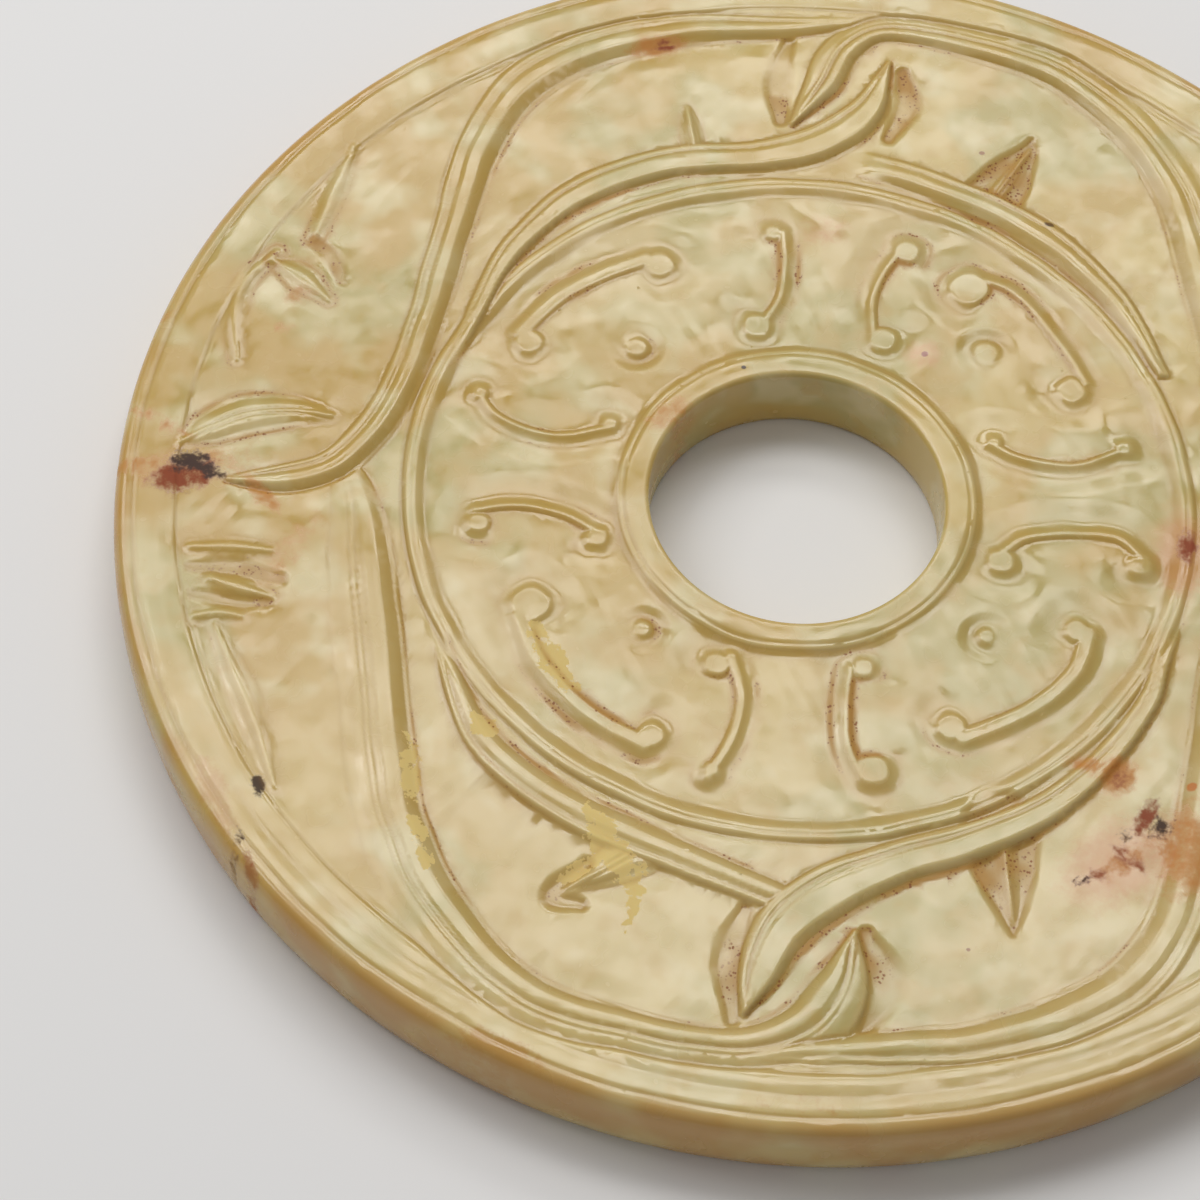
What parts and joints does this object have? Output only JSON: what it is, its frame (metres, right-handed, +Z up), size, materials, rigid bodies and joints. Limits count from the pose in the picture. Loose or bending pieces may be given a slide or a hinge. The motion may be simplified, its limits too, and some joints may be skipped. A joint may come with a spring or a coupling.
{
  "type": "jade bi disc",
  "caption": "Flat round stone disc with a round hole near its middle, carved in low relief with interlaced serpent bands and small hooked scrolls; it lies flat, carved face up.",
  "frame": {"origin": "middle of the disc, on the surface that its underside lies on", "axes": "+Z up through the disc's thickness, out of the carved face; -Y towards the viewer, +X to the right, as in the picture"},
  "size_m": [0.11, 0.11, 0.0069],
  "materials": {
    "jade": "polished translucent cream to yellow-green nephrite, with rust and dark inclusions and earth in the cuts"
  },
  "bodies": {
    "root": {"bi_disc": "jade"}
  },
  "joints": []
}
